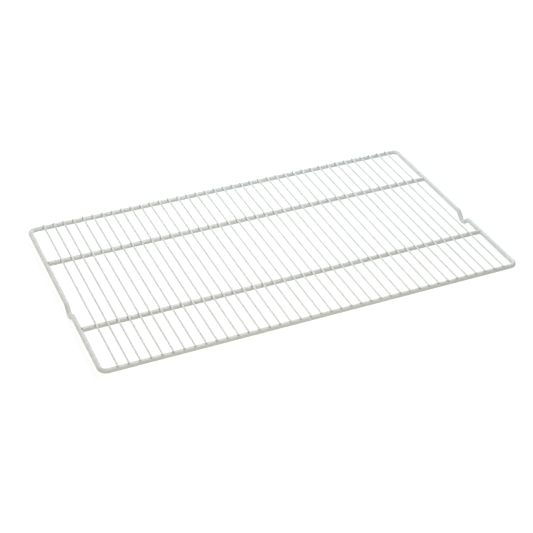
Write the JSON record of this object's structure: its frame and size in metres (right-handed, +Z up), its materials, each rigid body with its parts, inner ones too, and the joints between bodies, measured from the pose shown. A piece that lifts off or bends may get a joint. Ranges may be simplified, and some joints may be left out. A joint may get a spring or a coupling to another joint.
{
  "type": "refrigerator wire shelf",
  "caption": "Flat rectangular refrigerator shelf of light grey coated steel wire: a bent rim frame with a locating dip in each side rail, cross bars, and a deck of thin parallel wires.",
  "frame": {"origin": "under the middle of the shelf, level with the undersides of the two locating dips", "axes": "+X to the right along the front rail, +Y from the front rail to the back rail, +Z up through the deck"},
  "size_m": [0.6564, 0.3864, 0.0203],
  "materials": {
    "coated_wire": "satin light grey powder coat over welded steel wire"
  },
  "bodies": {
    "root": {"frame": "coated_wire", "front_cross_bar": "coated_wire", "rear_cross_bar": "coated_wire", "deck_wire_01": "coated_wire", "deck_wire_02": "coated_wire", "deck_wire_03": "coated_wire", "deck_wire_04": "coated_wire", "deck_wire_05": "coated_wire", "deck_wire_06": "coated_wire", "deck_wire_07": "coated_wire", "deck_wire_08": "coated_wire", "deck_wire_09": "coated_wire", "deck_wire_10": "coated_wire", "deck_wire_11": "coated_wire", "deck_wire_12": "coated_wire", "deck_wire_13": "coated_wire", "deck_wire_14": "coated_wire", "deck_wire_15": "coated_wire", "deck_wire_16": "coated_wire", "deck_wire_17": "coated_wire", "deck_wire_18": "coated_wire", "deck_wire_19": "coated_wire", "deck_wire_20": "coated_wire", "deck_wire_21": "coated_wire", "deck_wire_22": "coated_wire", "deck_wire_23": "coated_wire", "deck_wire_24": "coated_wire", "deck_wire_25": "coated_wire", "deck_wire_26": "coated_wire", "deck_wire_27": "coated_wire", "deck_wire_28": "coated_wire", "deck_wire_29": "coated_wire", "deck_wire_30": "coated_wire", "deck_wire_31": "coated_wire", "deck_wire_32": "coated_wire", "deck_wire_33": "coated_wire", "deck_wire_34": "coated_wire", "deck_wire_35": "coated_wire", "deck_wire_36": "coated_wire", "deck_wire_37": "coated_wire", "deck_wire_38": "coated_wire", "deck_wire_39": "coated_wire"}
  },
  "joints": []
}
